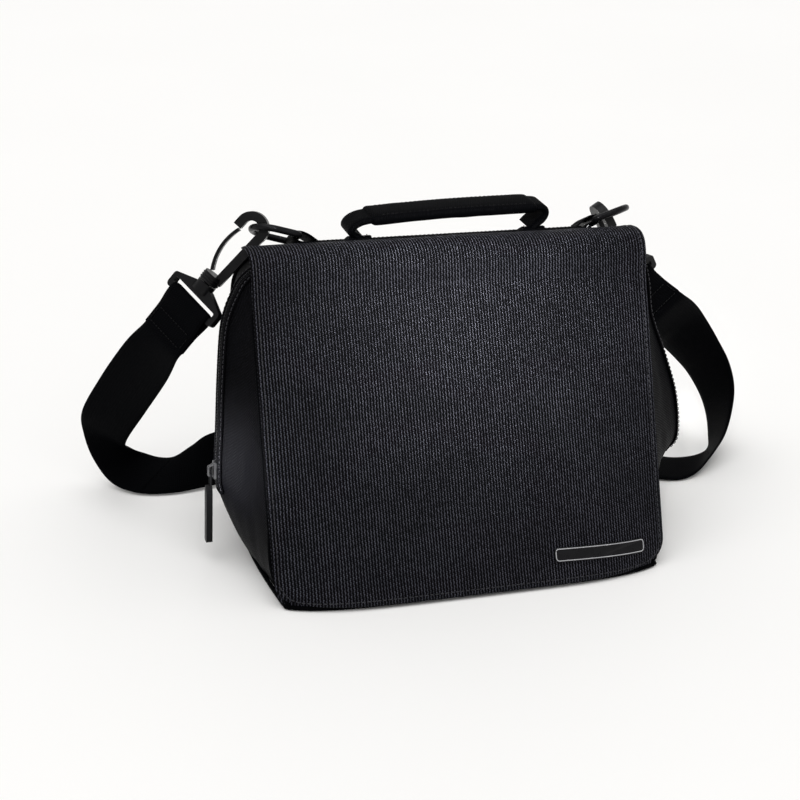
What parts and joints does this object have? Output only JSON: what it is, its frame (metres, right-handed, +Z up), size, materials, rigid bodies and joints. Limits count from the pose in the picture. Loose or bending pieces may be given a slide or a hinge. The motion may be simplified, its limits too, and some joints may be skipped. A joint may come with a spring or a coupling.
{
  "type": "insulated lunch bag",
  "caption": "Insulated lunch bag with front flap, wrap-over zip, top carry handle and clip-on shoulder strap.",
  "frame": {"origin": "centre of the base between the front and back edges, on the surface the bag stands on", "axes": "+X right seen from the front, +Y to the back, +Z up"},
  "size_m": [0.479, 0.21, 0.217],
  "materials": {
    "outer_fabric": "woven polyester, matt",
    "lining_film": "silvery film, slightly wrinkled",
    "foam": "closed-cell foam",
    "base_board": "stiffening board",
    "zip_tape": "knitted tape",
    "zip_coil": "moulded coil",
    "zip_metal": "dark nickel",
    "zip_pull": "soft moulded",
    "webbing": "plain weave webbing",
    "strap_webbing": "plain weave webbing",
    "hook_tape": "hook and loop tape",
    "label": "moulded patch with a raised rim",
    "ring_metal": "satin nickel",
    "hardware": "satin moulded",
    "gate": "dark spring steel"
  },
  "bodies": {
    "bag": {"front_panel": "outer_fabric", "front_insulation": "foam", "front_lining": "lining_film", "back_panel": "outer_fabric", "back_insulation": "foam", "back_lining": "lining_film", "gusset_left": "outer_fabric", "gusset_right": "outer_fabric", "gusset_insulation_left": "foam", "gusset_insulation_right": "foam", "gusset_lining_left": "lining_film", "gusset_lining_right": "lining_film", "base_panel": "outer_fabric", "base_board": "base_board", "base_insulation": "foam", "base_lining": "lining_film", "zipper_tape_front": "zip_tape", "zipper_tape_back": "zip_tape", "zipper_coil_front": "zip_coil", "zipper_coil_back": "zip_coil", "zipper_stops": "zip_coil", "flap_seam_strip": "webbing", "closure_loop_patch": "hook_tape", "ring_webbing": "webbing", "ring_tab_left": "webbing", "ring_tab_right": "webbing", "handle_anchors": "webbing", "strap_webbing": "strap_webbing"},
    "flap": {"flap_panel": "outer_fabric", "flap_lining": "lining_film", "closure_hook_patch": "hook_tape", "flap_label": "label"},
    "handle": {"handle_webbing": "webbing", "handle_grip": "webbing"},
    "zip_slider": {"zipper_slider": "zip_metal"},
    "zip_pull": {"zipper_pull": "zip_pull"},
    "ring_left": {"d_ring_left": "ring_metal"},
    "ring_right": {"d_ring_right": "ring_metal"},
    "strap_end_left": {"strap_base_left": "hardware", "strap_end_left": "strap_webbing"},
    "strap_end_right": {"strap_base_right": "hardware", "strap_end_right": "strap_webbing"},
    "hook_left": {"hook_body_left": "hardware"},
    "hook_right": {"hook_body_right": "hardware"},
    "gate_left": {"hook_gate_left": "gate"},
    "gate_right": {"hook_gate_right": "gate"},
    "adjuster": {"strap_adjuster": "hardware"}
  },
  "joints": [
    {"name": "flap_hinge", "type": "hinge", "parent": "bag", "child": "flap", "pos_m": [0, 0.029, 0.202], "axis": [-1, 0, 0], "range_deg": [0, 100]},
    {"name": "handle_lift", "type": "slide", "parent": "bag", "child": "handle", "axis": [0, 0, 1], "range_m": [0, 0.012]},
    {"name": "zip_slide", "type": "slide", "parent": "bag", "child": "zip_slider", "axis": [0.0396, 0.1337, 0.9902], "range_m": [0, 0.087]},
    {"name": "pull_hinge", "type": "hinge", "parent": "zip_slider", "child": "zip_pull", "pos_m": [-0.15708, 0.0023, 0.064], "axis": [0, 1, 0], "range_deg": [0, 100]},
    {"name": "ring_pivot_left", "type": "hinge", "parent": "bag", "child": "ring_left", "pos_m": [-0.094, 0.047, 0.199], "axis": [0, 0.8821, -0.4711], "range_deg": [-2, 0.6]},
    {"name": "ring_pivot_right", "type": "hinge", "parent": "bag", "child": "ring_right", "pos_m": [0.108, 0.047, 0.199], "axis": [0, 0.8821, -0.4711], "range_deg": [-2, 0.6]},
    {"name": "strap_end_swing_left", "type": "hinge", "parent": "bag", "child": "strap_end_left", "pos_m": [-0.12086, 0.05072, 0.20599], "axis": [-0.3998, -0.872, 0.2825], "range_deg": [-16, 0]},
    {"name": "strap_end_swing_right", "type": "hinge", "parent": "bag", "child": "strap_end_right", "pos_m": [0.12488, 0.06125, 0.19704], "axis": [0.8527, 0.1002, 0.5127], "range_deg": [-3, 14]},
    {"name": "hook_swivel_left", "type": "hinge", "parent": "strap_end_left", "child": "hook_left", "pos_m": [-0.14874, 0.05207, 0.1707], "axis": [0.6195, -0.03, 0.7844], "range_deg": [-3, 8]},
    {"name": "hook_swivel_right", "type": "hinge", "parent": "strap_end_right", "child": "hook_right", "pos_m": [0.14737, 0.06709, 0.1585], "axis": [-0.4997, -0.1299, 0.8564], "range_deg": [-8, 8]},
    {"name": "gate_hinge_left", "type": "hinge", "parent": "hook_left", "child": "gate_left", "pos_m": [-0.14555, 0.05319, 0.17867], "axis": [-0.3998, -0.872, 0.2825], "range_deg": [-9, 0], "stiffness_Nm_per_rad": 0.02},
    {"name": "gate_hinge_right", "type": "hinge", "parent": "hook_right", "child": "gate_right", "pos_m": [0.14369, 0.06327, 0.16535], "axis": [0.8527, 0.1002, 0.5127], "range_deg": [-9, 0], "stiffness_Nm_per_rad": 0.02},
    {"name": "adjuster_slide", "type": "slide", "parent": "bag", "child": "adjuster", "axis": [1, 0, 0], "range_m": [-0.03, 0.03]}
  ]
}
